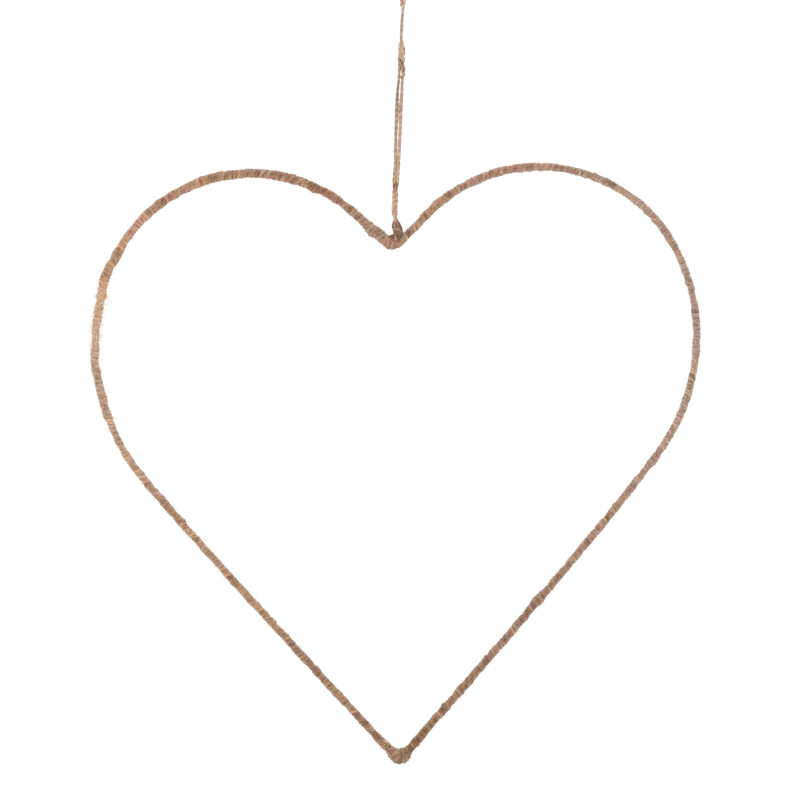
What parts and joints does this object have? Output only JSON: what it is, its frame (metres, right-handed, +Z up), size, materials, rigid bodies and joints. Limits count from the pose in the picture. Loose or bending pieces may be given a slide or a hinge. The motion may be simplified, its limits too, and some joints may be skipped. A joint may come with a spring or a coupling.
{
  "type": "jute heart wreath",
  "caption": "Slim heart-shaped ring wound with jute twine, hung flat against a wall or in a window from its own knotted twine and loop.",
  "frame": {"origin": "top of the inside of the hanging loop, where a nail or hook carries it", "axes": "+Z up as it hangs, +X to the right seen from the front, +Y away from the viewer, through the heart"},
  "size_m": [0.4007, 0.0098, 0.5317],
  "materials": {
    "jute_wrap": "natural jute twine wound side by side, matt, reddish brown to tan, with fine stray fibres",
    "jute_twine": "natural jute twine of two twisted plies, matt, light brown, a little fuzzy"
  },
  "bodies": {
    "root": {"heart_frame": "jute_wrap", "cleft_tie": "jute_twine", "hanger_leg_left": "jute_twine", "hanger_leg_right": "jute_twine", "hanger_knot": "jute_twine", "hanger_strand": "jute_twine", "loop_knot": "jute_twine", "hanging_loop": "jute_twine"}
  },
  "joints": []
}
